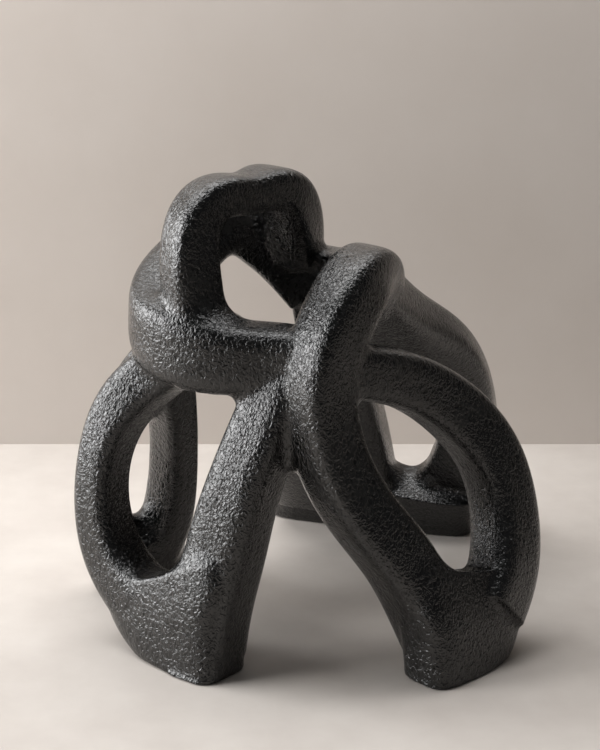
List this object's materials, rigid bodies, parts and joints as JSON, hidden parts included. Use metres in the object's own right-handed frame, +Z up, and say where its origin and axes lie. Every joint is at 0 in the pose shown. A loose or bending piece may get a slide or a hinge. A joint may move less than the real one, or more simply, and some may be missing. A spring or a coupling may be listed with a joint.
{
  "type": "looped metal sculpture",
  "caption": "Free-standing knotted sculpture of looped, blade-like legs that flow into an open crown, cast in sections with a black pebbled finish, on sole pads",
  "frame": {"origin": "on the floor, under the middle of the bounding box", "axes": "+Z up, +X to the right and +Y away from the side that the picture shows as its front"},
  "size_m": [0.3007, 0.314, 0.2964],
  "materials": {
    "blackened_casting": "pebbled black cast skin with a satin sheen",
    "pin_steel": "ground steel",
    "zinc_screw": "zinc plated steel",
    "sole_rubber": "matt black rubber"
  },
  "bodies": {
    "root": {"left_front_foot": "blackened_casting", "left_front_outer_strand": "blackened_casting", "left_front_inner_strand": "blackened_casting", "right_front_foot": "blackened_casting", "crossing_strand": "blackened_casting", "right_front_outer_strand": "blackened_casting", "crown_bowl": "blackened_casting", "crown_band": "blackened_casting", "crown_arch": "blackened_casting", "crown_knob": "blackened_casting", "shoulder_saddle": "blackened_casting", "back_foot_blade": "blackened_casting", "back_right_arm": "blackened_casting", "back_left_arm": "blackened_casting", "back_middle_web": "blackened_casting", "rear_left_foot": "blackened_casting", "rear_left_inner_strand": "blackened_casting", "rear_left_outer_strand": "blackened_casting", "left_front_dowels": "pin_steel", "right_front_dowels": "pin_steel", "crown_dowels": "pin_steel", "back_dowels": "pin_steel", "rear_left_dowels": "pin_steel", "left_front_sole_pad": "sole_rubber", "left_front_pad_screw": "zinc_screw", "right_front_sole_pad": "sole_rubber", "right_front_pad_screw": "zinc_screw", "rear_left_sole_pad": "sole_rubber", "rear_left_pad_screw": "zinc_screw", "back_left_sole_pad": "sole_rubber", "back_left_pad_screw": "zinc_screw", "back_right_sole_pad": "sole_rubber", "back_right_pad_screw": "zinc_screw"}
  },
  "joints": []
}
